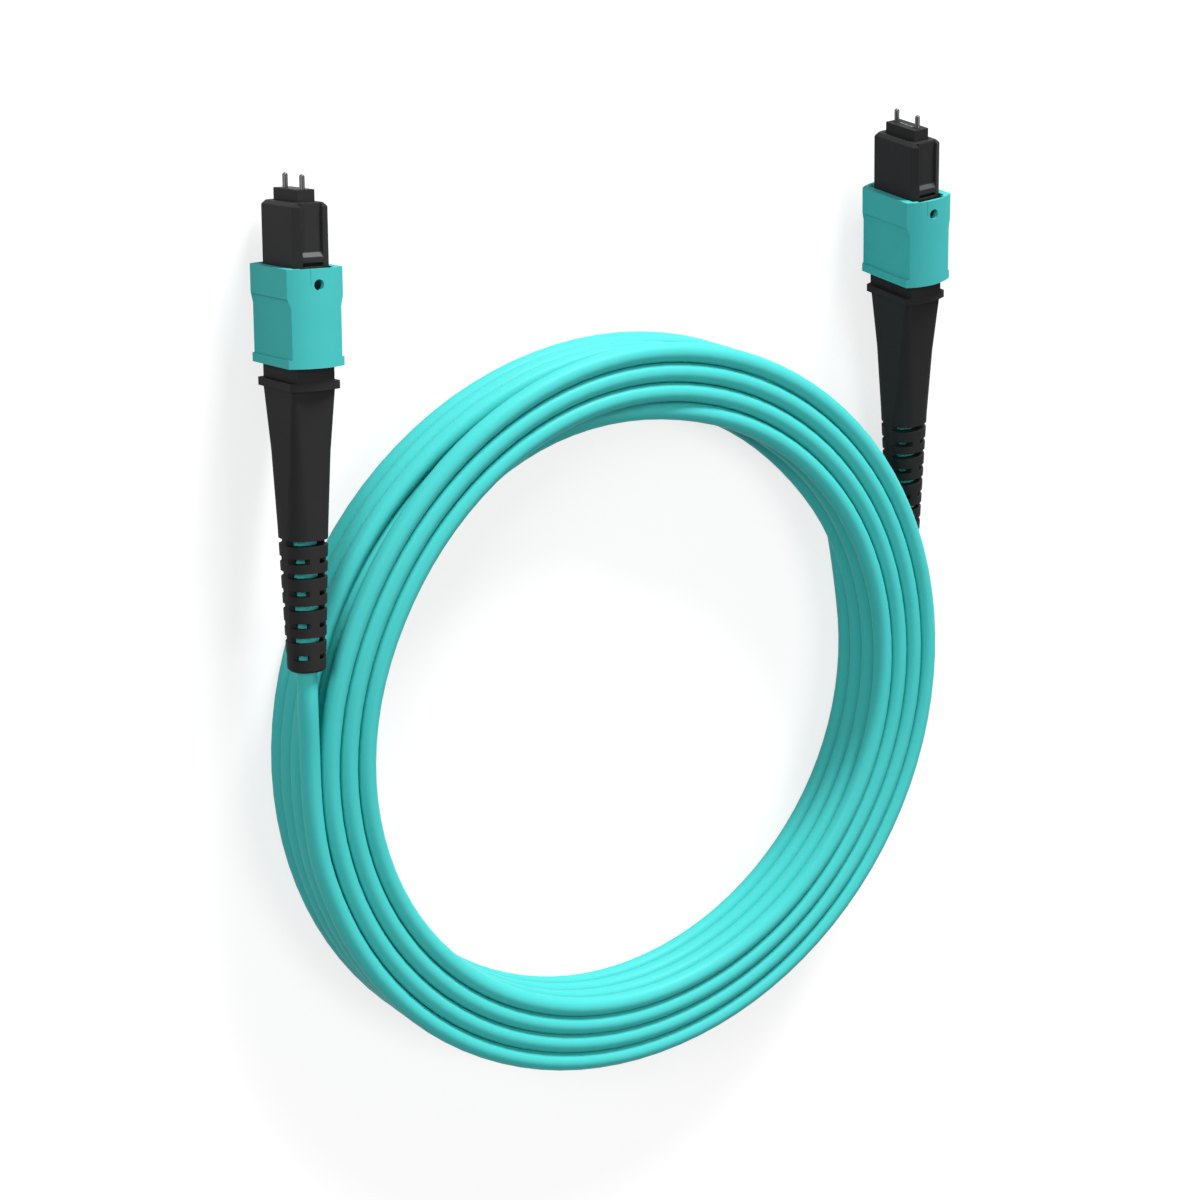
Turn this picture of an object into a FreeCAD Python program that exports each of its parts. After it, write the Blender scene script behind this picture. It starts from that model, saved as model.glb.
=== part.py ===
"""Fibre patch cord with two twelve-fibre push-on plugs, built as a parametric document.

A plug is modelled along Y in a frame of its own: Y = 0 is the ferrule's end face, the pins point
along +Y, the wide faces look along X and the narrow faces along Z. "Station" is the distance
behind the end face. Plug a lies with its sleeve on the surface and its boot on the coil; plug b
lies beside the coil with the end of its boot near the surface.
"""
import FreeCAD, Part
import math
import os

import Sketcher

SHEET = [
    # ferrule, with the standard outline and pin pitch
    ("ferrule_width", 6.4),
    ("ferrule_thick", 2.5),
    ("ferrule_length", 8.0),
    ("shoulder_start", 5.2),
    ("shoulder_width", 7.2),
    ("shoulder_thick", 3.1),
    ("ferrule_proud", 1.54),
    ("ferrule_clear", 0.08),
    ("pin_diameter", 0.7),
    ("pin_pitch", 4.6),
    ("pin_reach", 1.84),
    ("pin_tip", 0.2),
    ("pin_tail", 0.2),
    ("shank_sides", 8),
    ("pin_clear", 0.01),
    ("keeper_length", 1.2),
    ("ribbon_width", 3.1),
    ("ribbon_thick", 0.32),
    ("ribbon_start", 5.4),
    ("ribbon_end", 12.6),
    ("ribbon_clear", 0.02),
    ("mouth_thickness", 1.3),
    ("mouth_margin", 0.2),
    ("mouth_length", 3.2),
    ("window_start", 2.9),
    ("window_end", 4.6),
    ("grommet_clear", 0.05),
    ("grommet_start", 5.0),
    ("grommet_end", 10.1),
    # inner housing
    ("housing_thick", 5.0),
    ("housing_width", 9.5),
    ("flat_width", 8.4),
    ("crown_width", 3.1),
    ("housing_end", 20.4),
    ("nose_bevel", 0.5),
    ("channel_width", 2.8),
    ("channel_depth", 0.4),
    ("catch_start", 7.62),
    ("catch_end", 8.25),
    ("catch_slot_start", 8.97),
    ("catch_slot_end", 9.4),
    ("catch_slot_depth", 0.7),
    ("key_width", 2.5),
    ("key_height", 0.75),
    ("key_start", 2.6),
    ("key_end", 9.35),
    ("root_overlap", 0.2),
    ("lug_width", 3.0),
    ("lug_height", 0.5),
    ("lug_start", 14.5),
    ("lug_end", 15.5),
    # coupling sleeve
    ("sleeve_start", 9.53),
    ("sleeve_end", 21.93),
    ("sleeve_thick", 7.8),
    ("sleeve_corner", 10.1),
    ("sleeve_width", 12.5),
    ("sleeve_wall", 1.1),
    ("side_wall", 0.85),
    ("corner_wall", 0.1),
    ("panel_thick", 6.96),
    ("band_end", 13.25),
    ("flange_start", 20.8),
    ("mouth_wall", 0.5),
    ("mouth_thick", 4.4),
    ("mouth_depth", 1.4),
    ("vent_station", 11.54),
    ("vent_diameter", 1.4),
    ("sleeve_travel", 1.7),
    ("stop_clear", 0.05),
    ("side_clear", 0.15),
    # coupling springs, one against each narrow face
    ("side_spring_start", 13.4),
    ("side_spring_end", 19.2),
    ("side_spring_offset", 5.0),
    ("side_spring_radius", 0.5),
    ("side_spring_wire", 0.26),
    ("side_spring_turns", 5.0),
    ("bed_overlap", 0.4),
    ("bed_roof", 0.1),
    ("bed_floor", 0.07),
    # ferrule spring and crimp body
    ("push_start", 14.6),
    ("push_plate_end", 16.0),
    ("spring_radius", 1.27),
    ("spring_wire", 0.34),
    ("spring_turns", 4.0),
    ("spring_oval", 2.2),
    ("spring_steps", 7),
    ("wire_sides", 4),
    ("block_step", 0.4),
    ("slot_thick", 1.2),
    ("bore_depth", 1.0),
    ("barrel_radius", 1.6),
    ("barrel_wall", 0.5),
    ("barrel_end", 31.0),
    ("crimp_start", 24.6),
    ("crimp_end", 31.6),
    ("crimp_radius", 1.95),
    ("crimp_clear", 0.02),
    ("crimp_sides", 8),
    # strain-relief boot
    ("boot_start", 20.5),
    ("boot_end", 61.7),
    ("cavity_clear", 0.05),
    ("cavity_margin", 0.4),
    ("boot_bore", 1.9),
    ("bore_facets", 2),
    ("tail_grip", 1.0),
    ("neck_thick", 5.2),
    ("neck_corner", 9.5),
    ("neck_width", 10.2),
    ("collar_start", 23.85),
    ("collar_end", 24.9),
    ("collar_thick", 7.0),
    ("collar_corner", 8.92),
    ("collar_width", 10.32),
    ("root_half_x", 3.03),
    ("root_half_z", 4.4),
    ("root_round", 0.6),
    ("boot_waist", 33.1),
    ("waist_half_x", 2.85),
    ("waist_half_z", 3.74),
    ("waist_round", 1.4),
    ("boot_throat", 42.7),
    ("throat_half_x", 2.83),
    ("throat_half_z", 3.28),
    ("throat_round", 2.2),
    ("corner_facets", 4),
    ("tail_radius", 2.44),
    ("tail_lip", 0.3),
    ("tail_flat", 0.2),
    ("slot_setback", 17.0),
    ("slot_pitch", 4.23),
    ("slot_offset", 2.3),
    ("slot_length", 0.75),
    ("slot_count", 4),
    ("side_bridge", 1.1),
    ("crown_bridge", 1.4),
    ("flank_bridge", 1.8),
    # cable and coil
    ("cable_diameter", 2.7),
    ("cable_clear", 0.07),
    ("lead_straight", 5.0),
    ("lead_landing", 5.5),
    ("coil_radius", 51.24),
    ("turn_pitch", 2.727),
    ("layer_pitch", 2.827),
    ("turns_across", 4),
    ("layers", 4),
    ("notch_depth", 3.78),
    ("notch_clear", 0.04),
    ("top_notch_angle", 85.0),
    ("base_notch_angle", 75.0),
]

# Where each plug's end face lies, in the coil's frame, and how the plug is turned:
# (x, y, z, yaw about Z, tilt of the nose upwards).
PLUGS = {
    "a": (-48.39, 77.63, 5.55, -2.69, -4.11),
    "b": (46.49, 78.12, 8.31, 5.23, 5.40),
}


document = FreeCAD.newDocument("patch_cord")
sheet = document.addObject("Spreadsheet::Sheet", "sizes")
for row, (alias, size) in enumerate(SHEET, start=1):
    sheet.set("A%d" % row, alias)
    sheet.set("B%d" % row, str(size))
    sheet.setAlias("B%d" % row, alias)
document.recompute()

cuts = []
parts = []


def size(alias):
    """Return a driving dimension as a float."""
    return float(getattr(sheet, alias))


def bound(expression):
    """Turn a formula of bare aliases into one that names the sheet."""
    words = []
    word = ""
    for letter in expression + " ":
        if letter.isalpha() or letter == "_" or (word and letter.isdigit()):
            word += letter
            continue
        if word:
            words.append("sizes." + word if hasattr(sheet, word) else word)
            word = ""
        words.append(letter)
    return "".join(words).strip()


def worth(expression):
    """Return what a formula of aliases comes to."""
    return float(sheet.evalExpression(bound(expression)))


# ---------------------------------------------------------------- sketches


def new_body(name):
    """Add an empty body for one sub-part."""
    body = document.addObject("PartDesign::Body", name)
    body.Label = name
    parts.append(body)
    return body


def origin_plane(body, role):
    """Find one of a body's own planes."""
    return next(f for f in body.Origin.OriginFeatures if f.Role == role)


def new_sketch(body, name, station="0", role="XZ_Plane"):
    """Add a sketch on one of the body's own planes, offset to a station."""
    sketch = body.newObject("Sketcher::SketchObject", name)
    sketch.AttachmentSupport = [(origin_plane(body, role), "")]
    sketch.MapMode = "FlatFace"
    if station != "0":
        sketch.setExpression("AttachmentOffset.Base.z", bound(station))
    return sketch


def fix(sketch, kind, where, expression):
    """Dimension a sketch point, line or arc with a formula."""
    if expression == "0":
        axis = -2 if kind == "DistanceX" else -1
        sketch.addConstraint(Sketcher.Constraint("PointOnObject", *where, axis))
        return
    index = sketch.addConstraint(Sketcher.Constraint(kind, *where, worth(expression)))
    sketch.setExpression("Constraints[%d]" % index, bound(expression))


def draw_polygon(sketch, corners):
    """Draw a closed outline of straight lines through corners given as formulas."""
    first = sketch.GeometryCount
    spots = [FreeCAD.Vector(worth(x), worth(y), 0) for x, y in corners]
    count = len(spots)
    for i in range(count):
        sketch.addGeometry(Part.LineSegment(spots[i], spots[(i + 1) % count]), False)
    for i in range(count):
        after = first + (i + 1) % count
        sketch.addConstraint(Sketcher.Constraint("Coincident", first + i, 2, after, 1))
        fix(sketch, "DistanceX", (first + i, 1), corners[i][0])
        fix(sketch, "DistanceY", (first + i, 1), corners[i][1])


def draw_box(sketch, left, low, right, high):
    """Draw an upright rectangle between two corners given as formulas."""
    first = sketch.GeometryCount
    x0, y0, x1, y1 = worth(left), worth(low), worth(right), worth(high)
    spots = [(x0, y0), (x1, y0), (x1, y1), (x0, y1)]
    spots = [FreeCAD.Vector(x, y, 0) for x, y in spots]
    for i in range(4):
        sketch.addGeometry(Part.LineSegment(spots[i], spots[(i + 1) % 4]), False)
    for i in range(4):
        after = first + (i + 1) % 4
        sketch.addConstraint(Sketcher.Constraint("Coincident", first + i, 2, after, 1))
        kind = "Horizontal" if i % 2 == 0 else "Vertical"
        sketch.addConstraint(Sketcher.Constraint(kind, first + i))
    fix(sketch, "DistanceX", (first, 1), left)
    fix(sketch, "DistanceY", (first, 1), low)
    fix(sketch, "DistanceX", (first + 1, 2), right)
    fix(sketch, "DistanceY", (first + 1, 2), high)


def draw_mirrored_boxes(sketch, left, low, right, high):
    """Draw a rectangle above the X axis and its mirror image below."""
    draw_box(sketch, left, low, right, high)
    draw_box(sketch, left, "-(%s)" % high, right, "-(%s)" % low)


def draw_circle(sketch, x, y, radius):
    """Draw a circle."""
    centre = FreeCAD.Vector(worth(x), worth(y), 0)
    normal = FreeCAD.Vector(0, 0, 1)
    index = sketch.addGeometry(Part.Circle(centre, normal, worth(radius)), False)
    fix(sketch, "DistanceX", (index, 3), x)
    fix(sketch, "DistanceY", (index, 3), y)
    fix(sketch, "Radius", (index,), radius)


def draw_barrel(sketch, thick, corner, width):
    """Draw two flat sides a thickness apart, joined by two bulging ends."""
    half, level = worth(thick) / 2, worth(corner) / 2
    sag = (worth(width) - worth(corner)) / 2
    radius = (half * half + sag * sag) / (2 * sag)
    first = sketch.GeometryCount
    right_foot = FreeCAD.Vector(half, -level, 0)
    right_head = FreeCAD.Vector(half, level, 0)
    left_head = FreeCAD.Vector(-half, level, 0)
    left_foot = FreeCAD.Vector(-half, -level, 0)
    top = FreeCAD.Vector(0, level + sag, 0)
    bottom = FreeCAD.Vector(0, -level - sag, 0)
    sketch.addGeometry(Part.LineSegment(right_foot, right_head), False)
    sketch.addGeometry(Part.Arc(right_head, top, left_head), False)
    sketch.addGeometry(Part.LineSegment(left_head, left_foot), False)
    sketch.addGeometry(Part.Arc(left_foot, bottom, right_foot), False)
    for line, arc in ((first, first + 1), (first + 2, first + 3)):
        sketch.addConstraint(Sketcher.Constraint("Coincident", line, 2, arc, 1))
    for arc, line in ((first + 1, first + 2), (first + 3, first)):
        sketch.addConstraint(Sketcher.Constraint("Coincident", arc, 2, line, 1))
    for line, end, x, y in (
        (first, 1, "", "-"),
        (first, 2, "", ""),
        (first + 2, 1, "-", ""),
        (first + 2, 2, "-", "-"),
    ):
        fix(sketch, "DistanceX", (line, end), "%s(%s) / 2" % (x, thick))
        fix(sketch, "DistanceY", (line, end), "%s(%s) / 2" % (y, corner))
    bulge = "((%s) ^ 2 + (%s - (%s)) ^ 2) / (4 * (%s - (%s)))"
    formula = bulge % (thick, width, corner, width, corner)
    assert abs(worth(formula) - radius) < 1e-9, "bulge radius"
    fix(sketch, "Radius", (first + 1,), formula)
    fix(sketch, "Radius", (first + 3,), formula)


def draw_regular(sketch, centre, radius, sides):
    """Draw a regular polygon with one corner level with its centre."""
    corners = []
    for index in range(int(size(sides))):
        turn = 360 * index / size(sides)
        corners.append(("(%s) * cos(%g)" % (radius, turn), "%s + (%s) * sin(%g)" % (centre, radius, turn)))
    draw_polygon(sketch, corners)


def draw_rounded(sketch, half_x, half_z, radius, count="corner_facets"):
    """Draw a rectangle centred on the origin, its corners rounded off in short facets."""
    facets = int(size(count))
    corners = []
    for x, z, rising in (("", "", True), ("-", "", False), ("-", "-", True), ("", "-", False)):
        for index in range(facets + 1):
            turn = 90 * (index if rising else facets - index) / facets
            across = "%s(%s - (%s) * (1 - cos(%g)))" % (x, half_x, radius, turn)
            along = "%s(%s - (%s) * (1 - sin(%g)))" % (z, half_z, radius, turn)
            corners.append((across, along))
    draw_polygon(sketch, corners)


def centred(thick, width):
    """Give the corner formulas of a rectangle centred on the plug's axis."""
    return ("-(%s) / 2" % thick, "-(%s) / 2" % width, "(%s) / 2" % thick, "(%s) / 2" % width)


# ---------------------------------------------------------------- features


def pad(body, name, start, end, draw, *outline):
    """Add the drawn outline between two stations."""
    sketch = new_sketch(body, name + "_outline", start)
    draw(sketch, *outline)
    feature = body.newObject("PartDesign::Pad", name)
    feature.Profile = sketch
    feature.setExpression("Length", bound("(%s) - (%s)" % (end, start)))
    document.recompute()
    return feature


def pocket(body, name, start, end, draw, *outlines):
    """Cut the drawn outline away between two stations."""
    sketch = new_sketch(body, name + "_outline", start)
    draw(sketch, *outlines)
    return cut_from(body, name, sketch, "(%s) - (%s)" % (end, start))


def cut_from(body, name, sketch, length, both_ways=False):
    """Cut a sketch's outline away along its normal, or along both directions."""
    feature = body.newObject("PartDesign::Pocket", name)
    feature.Profile = sketch
    if both_ways:
        feature.SideType = "Symmetric"
    feature.setExpression("Length", bound(length))
    feature.Reversed = not both_ways
    document.recompute()
    cuts.append(feature)
    return feature


def edges_where(feature, test):
    """Name the edges of a feature whose bounding box passes a test."""
    names = []
    for index, edge in enumerate(feature.Shape.Edges, start=1):
        if test(edge.BoundBox):
            names.append("Edge%d" % index)
    return names


def dress(body, name, kind, base, test, amount):
    """Round or bevel the edges that pass a test."""
    feature = body.newObject("PartDesign::" + kind, name)
    feature.Base = (base, edges_where(base, test))
    quantity = "Radius" if kind == "Fillet" else "Size"
    feature.setExpression(quantity, bound(amount))
    document.recompute()
    return feature


def at_station(value):
    """Make a test for edges that lie in the plane of one station."""
    return lambda box: abs(box.YMin + value) < 1e-4 and abs(box.YMax + value) < 1e-4


# ---------------------------------------------------------------- ferrule group

RIBBON_MOUTH = centred("mouth_thickness", "ribbon_width + 2 * mouth_margin")


def make_ferrule(name):
    """Ferrule block with its rear shoulder, pin bores, glue window and rear mouth."""
    body = new_body(name)
    pad(body, name + "_nose", "0", "ferrule_length", draw_box, *centred("ferrule_thick", "ferrule_width"))
    shoulder = centred("shoulder_thick", "shoulder_width")
    pad(body, name + "_shoulder", "shoulder_start", "ferrule_length", draw_box, *shoulder)
    sketch = new_sketch(body, name + "_bores", "0")
    for side in ("", "-"):
        draw_circle(sketch, "0", side + "pin_pitch / 2", "pin_diameter / 2 + pin_clear")
    cut_from(body, name + "_pin_bores", sketch, "ferrule_length")
    pocket(body, name + "_mouth", "ferrule_length - mouth_length", "ferrule_length", draw_box, *RIBBON_MOUTH)
    window = ("0", "-ribbon_width / 2", "shoulder_thick", "ribbon_width / 2")
    pocket(body, name + "_window", "window_start", "window_end", draw_box, *window)
    return body


def make_pin(name, side):
    """Steel guide pin: a round free end with a bevelled tip, and a many-sided hidden shank."""
    body = new_body(name)
    centre, radius = side + "pin_pitch / 2", "pin_diameter / 2"
    nose = pad(body, name + "_nose", "-pin_reach", "0", draw_circle, "0", centre, radius)
    dress(body, name + "_tip", "Chamfer", nose, at_station(-size("pin_reach")), "pin_tip")
    tail = "ferrule_length + keeper_length - pin_tail"
    pad(body, name + "_shank", "0", tail, draw_regular, centre, radius, "shank_sides")
    return body


def make_keeper(name):
    """Pin keeper behind the ferrule, open in the middle for the ribbon."""
    body = new_body(name)
    end = "ferrule_length + keeper_length"
    pad(body, name + "_plate", "ferrule_length", end, draw_box, *centred("shoulder_thick", "shoulder_width"))
    grip = "pin_diameter / 2 + pin_clear"
    fork = ("-(%s)" % grip, "pin_pitch / 2 - (%s)" % grip, grip, "shoulder_width")
    pocket(body, name + "_forks", "ferrule_length", end, draw_mirrored_boxes, *fork)
    pocket(body, name + "_window", "ferrule_length", end, draw_box, *RIBBON_MOUTH)
    return body


def make_grommet(name):
    """Soft sleeve that steadies the ribbon where it enters the ferrule."""
    body = new_body(name)
    block = ("mouth_thickness - 2 * grommet_clear", "ribbon_width + 2 * (mouth_margin - grommet_clear)")
    pad(body, name + "_block", "grommet_start", "grommet_end", draw_box, *centred(*block))
    bore = centred("ribbon_thick + 2 * ribbon_clear", "ribbon_width + 2 * ribbon_clear")
    pocket(body, name + "_bore", "grommet_start", "grommet_end", draw_box, *bore)
    return body


def make_ribbon(name):
    """Fibre ribbon from the ferrule's mouth into the crimp body."""
    body = new_body(name)
    pad(body, name + "_strip", "ribbon_start", "ribbon_end", draw_box, *centred("ribbon_thick", "ribbon_width"))
    return body


def make_coil_spring(name, start, end, radius, wire, turns, oval=1.0, offset=0.0):
    """Helical spring along Y between two stations, widened along Z and moved along Z."""
    rise = end - start - wire
    reach = oval * radius
    steps = int(size("spring_steps"))
    sides = int(size("wire_sides"))
    count = int(round(steps * turns))
    rings = []
    for step in range(count + 1):
        turn = 2 * math.pi * step / steps
        around = FreeCAD.Vector(radius * math.cos(turn), 0, reach * math.sin(turn))
        slope = FreeCAD.Vector(-radius * math.sin(turn), -rise / (2 * math.pi * turns), reach * math.cos(turn))
        centre = around + FreeCAD.Vector(0, -start - wire / 2 - rise * step / count, offset)
        out = (around - slope * (around.dot(slope) / slope.dot(slope))).normalize()
        up = slope.cross(out).normalize()
        corners = []
        for side in range(sides):
            angle = 2 * math.pi * side / sides
            corners.append(centre + out * (wire / 2 * math.cos(angle)) + up * (wire / 2 * math.sin(angle)))
        rings.append(corners)
    facets = [rings[0], rings[-1]]
    for here, there in zip(rings, rings[1:]):
        for side in range(sides):
            after = (side + 1) % sides
            facets.append([here[side], here[after], there[after]])
            facets.append([here[side], there[after], there[side]])
    faces = [Part.Face(Part.makePolygon(facet + facet[:1])) for facet in facets]
    feature = document.addObject("Part::Feature", name)
    feature.Label = name
    feature.Shape = Part.makeSolid(Part.makeShell(faces))
    parts.append(feature)
    return feature


# ---------------------------------------------------------------- housing and sleeve

SLEEVE_OUTLINE = ("sleeve_thick", "sleeve_corner", "sleeve_width")
SLEEVE_WALLS = ("sleeve_wall", "corner_wall", "side_wall")


def make_housing(name):
    """Inner housing with latch channels, catches, key, stop lugs and a stepped bore."""
    body = new_body(name)
    half, flat, crown, edge = "housing_thick / 2", "flat_width / 2", "housing_width / 2", "crown_width / 2"
    corners = []
    for x, z, inner in (("", "", False), ("-", "", True), ("-", "-", False), ("", "-", True)):
        side = (x + half, z + flat)
        end = (x + edge, z + crown)
        corners += [end, side] if inner else [side, end]
    start, end = "ferrule_proud", "housing_end"
    block = pad(body, name + "_block", start, end, draw_polygon, corners)
    dress(body, name + "_bevel", "Chamfer", block, at_station(size("ferrule_proud")), "nose_bevel")
    key = (half + " - root_overlap", "-key_width / 2", half + " + key_height", "key_width / 2")
    pad(body, name + "_key", "key_start", "key_end", draw_box, *key)
    sketch = new_sketch(body, name + "_lugs_outline", "lug_start")
    root, tip = half + " - root_overlap", half + " + lug_height"
    draw_box(sketch, root, "-lug_width / 2", tip, "lug_width / 2")
    draw_box(sketch, "-(%s)" % tip, "-lug_width / 2", "-(%s)" % root, "lug_width / 2")
    lugs = body.newObject("PartDesign::Pad", name + "_lugs")
    lugs.Profile = sketch
    lugs.setExpression("Length", bound("lug_end - lug_start"))
    document.recompute()
    fit = " + 2 * ferrule_clear"
    mouth = centred("ferrule_thick" + fit, "ferrule_width" + fit)
    pocket(body, name + "_mouth", start, "shoulder_start", draw_box, *mouth)
    bore = centred("shoulder_thick" + fit, "shoulder_width" + fit)
    pocket(body, name + "_bore", "shoulder_start", end, draw_box, *bore)
    sketch = new_sketch(body, name + "_channel_outline", role="YZ_Plane")
    deep, over = crown + " - channel_depth", crown + " + channel_depth"
    profile = [("0", deep), ("-catch_start", deep), ("-catch_end", crown), ("-catch_end", over), ("0", over)]
    for sign in ("", "-"):
        draw_polygon(sketch, [(y, "%s(%s)" % (sign, z)) for y, z in profile])
    cut_from(body, name + "_channels", sketch, "channel_width", both_ways=True)
    wide = ("-channel_width / 2", "channel_width / 2")
    slot = (wide[0], crown + " - catch_slot_depth", wide[1], over)
    pocket(body, name + "_catch_slots", "catch_slot_start", "catch_slot_end", draw_mirrored_boxes, *slot)
    groove = "side_spring_radius + side_spring_wire / 2 + side_clear"
    floor = "side_spring_offset - side_spring_radius - side_spring_wire / 2 - bed_floor"
    bed = ("-(%s)" % groove, floor, groove, over)
    pocket(body, name + "_spring_beds", "side_spring_start", "side_spring_end", draw_mirrored_boxes, *bed)
    return body


def make_sleeve(name):
    """Pull-back coupling sleeve: raised front band, rear flange and two bulging grips."""
    body = new_body(name)
    start, end = "sleeve_start", "sleeve_end"
    pad(body, name + "_shell", start, end, draw_barrel, *SLEEVE_OUTLINE)
    sketch = new_sketch(body, name + "_panels_outline", "band_end")
    draw_box(sketch, "panel_thick / 2", "-sleeve_width", "sleeve_thick", "sleeve_width")
    draw_box(sketch, "-sleeve_thick", "-sleeve_width", "-panel_thick / 2", "sleeve_width")
    cut_from(body, name + "_panels", sketch, "flange_start - band_end")
    bore = [outside + " - 2 * " + wall for outside, wall in zip(SLEEVE_OUTLINE, SLEEVE_WALLS)]
    pocket(body, name + "_bore", start, end, draw_barrel, *bore)
    mouth = centred("mouth_thick", "sleeve_width - 2 * mouth_wall")
    pocket(body, name + "_mouth", start, "sleeve_start + mouth_depth", draw_box, *mouth)
    sketch = new_sketch(body, name + "_stops_outline", "lug_start - sleeve_travel - side_clear")
    tip = "housing_thick / 2 + lug_height + side_clear"
    draw_box(sketch, "-(%s)" % tip, "-lug_width / 2 - side_clear", tip, "lug_width / 2 + side_clear")
    length = "lug_end + stop_clear - lug_start + sleeve_travel + side_clear"
    cut_from(body, name + "_stops", sketch, length)
    half = "side_spring_radius + side_spring_wire / 2 + side_clear"
    roof = "side_spring_offset + side_spring_radius + side_spring_wire / 2 + bed_roof"
    bed = ("-(%s)" % half, "sleeve_corner / 2 - bed_overlap", half, roof)
    pocket(body, name + "_spring_beds", "side_spring_start", end, draw_mirrored_boxes, *bed)
    sketch = new_sketch(body, name + "_vents_outline", role="XY_Plane")
    draw_circle(sketch, "0", "-vent_station", "vent_diameter / 2")
    cut_from(body, name + "_vents", sketch, "2 * sleeve_width", both_ways=True)
    return body


# ---------------------------------------------------------------- crimp body and boot


def make_crimp_body(name):
    """Rear insert that backs the ferrule spring and carries the crimp barrel."""
    body = new_body(name)
    plate = centred("shoulder_thick", "shoulder_width")
    pad(body, name + "_plate", "push_start", "push_plate_end", draw_box, *plate)
    block = centred("shoulder_thick", "shoulder_width - 2 * block_step")
    pad(body, name + "_block", "push_plate_end", "housing_end", draw_box, *block)
    pad(body, name + "_barrel", "housing_end", "barrel_end", draw_circle, "0", "0", "barrel_radius")
    slot = centred("slot_thick", "ribbon_width + 2 * mouth_margin")
    pocket(body, name + "_slot", "push_start", "housing_end - bore_depth", draw_box, *slot)
    bore = ("0", "0", "barrel_radius - barrel_wall")
    pocket(body, name + "_bore", "housing_end - bore_depth", "barrel_end", draw_circle, *bore)
    return body


def make_crimp_ring(name):
    """Metal ring crimped many-sided over the barrel and the cable's strength yarn."""
    body = new_body(name)
    pad(body, name + "_ring", "crimp_start", "crimp_end", draw_regular, "0", "crimp_radius", "crimp_sides")
    bore = ("0", "0", "barrel_radius + crimp_clear")
    pocket(body, name + "_bore", "crimp_start", "crimp_end", draw_circle, *bore)
    return body


def skin(name, profiles):
    """Close a row of outlines, each with as many corners, into one solid of flat facets."""
    rings = []
    for profile in profiles:
        rings.append([profile.Placement.multVec(line.StartPoint) for line in profile.Geometry])
    facets = [rings[0], rings[-1]]
    for here, there in zip(rings, rings[1:]):
        for index in range(len(here)):
            facets.append([here[index - 1], here[index], there[index], there[index - 1]])
    feature = document.addObject("Part::Feature", name)
    faces = [Part.Face(Part.makePolygon(facet + facet[:1])) for facet in facets]
    feature.Shape = Part.makeSolid(Part.makeShell(faces))
    return feature


def boot_sections():
    """List the boot's outlines from collar to tail: station, half sizes and corner radius."""
    sections = [("collar_end", "root_half_x", "root_half_z", "root_round")]
    for place in ("waist", "throat"):
        sections.append(("boot_" + place, place + "_half_x", place + "_half_z", place + "_round"))
    for station, half in (("boot_end - tail_lip", "tail_radius"), ("boot_end", "tail_radius - tail_lip")):
        sections.append((station, half, half, half + " - tail_flat"))
    return sections


def make_boot(name):
    """Strain-relief boot: skinned from a squarish collar to a round, slotted tail."""
    profiles = []
    for index, (station, half_x, half_z, radius) in enumerate(boot_sections()):
        sketch = document.addObject("Sketcher::SketchObject", "%s_section_%d" % (name, index))
        draw_rounded(sketch, half_x, half_z, radius)
        upright = FreeCAD.Rotation(FreeCAD.Vector(1, 0, 0), 90)
        sketch.Placement = FreeCAD.Placement(FreeCAD.Vector(), upright)
        sketch.setExpression("Placement.Base.y", bound("-(%s)" % station))
        profiles.append(sketch)
    document.recompute()
    taper = skin(name + "_taper", profiles)
    body = new_body(name)
    body.BaseFeature = taper
    document.recompute()
    for place, start, end in (("neck", "boot_start", "collar_start"), ("collar", "collar_start", "collar_end")):
        outline = [place + side for side in ("_thick", "_corner", "_width")]
        pad(body, name + "_" + place, start, end, draw_barrel, *outline)
    cavity = ("0", "0", "crimp_radius + cavity_clear")
    pocket(body, name + "_cavity", "boot_start", "crimp_end + cavity_margin", draw_circle, *cavity)
    bore = ("boot_bore", "boot_bore", "boot_bore - tail_flat", "bore_facets")
    pocket(body, name + "_bore", "crimp_end", "boot_end - tail_grip", draw_rounded, *bore)
    grip = ("0", "0", "cable_diameter / 2 + cable_clear")
    pocket(body, name + "_grip", "boot_end - tail_grip", "boot_end", draw_circle, *grip)
    reach = "collar_width / 2"
    crown = ("-" + reach, "side_bridge / 2", reach, reach)
    flank = ("crown_bridge / 2", "flank_bridge / 2", reach, reach)
    other_flank = ("-" + reach, "flank_bridge / 2", "-crown_bridge / 2", reach)
    for row in range(int(size("slot_count"))):
        begin = "boot_end - slot_setback - slot_length / 2 + %d * slot_pitch" % row
        label = "%s_crown_slot_%d" % (name, row)
        pocket(body, label, begin, begin + " + slot_length", draw_mirrored_boxes, *crown)
        begin += " + slot_offset"
        sketch = new_sketch(body, "%s_flank_outline_%d" % (name, row), begin)
        draw_mirrored_boxes(sketch, *flank)
        draw_mirrored_boxes(sketch, *other_flank)
        cut_from(body, "%s_flank_slot_%d" % (name, row), sketch, "slot_length")
    return body


def make_cable_tail(name):
    """Cable inside the boot, from the crimp barrel to the end of the boot."""
    body = new_body(name)
    pad(body, name + "_core", "barrel_end", "boot_end", draw_circle, "0", "0", "cable_diameter / 2")
    return body


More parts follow.
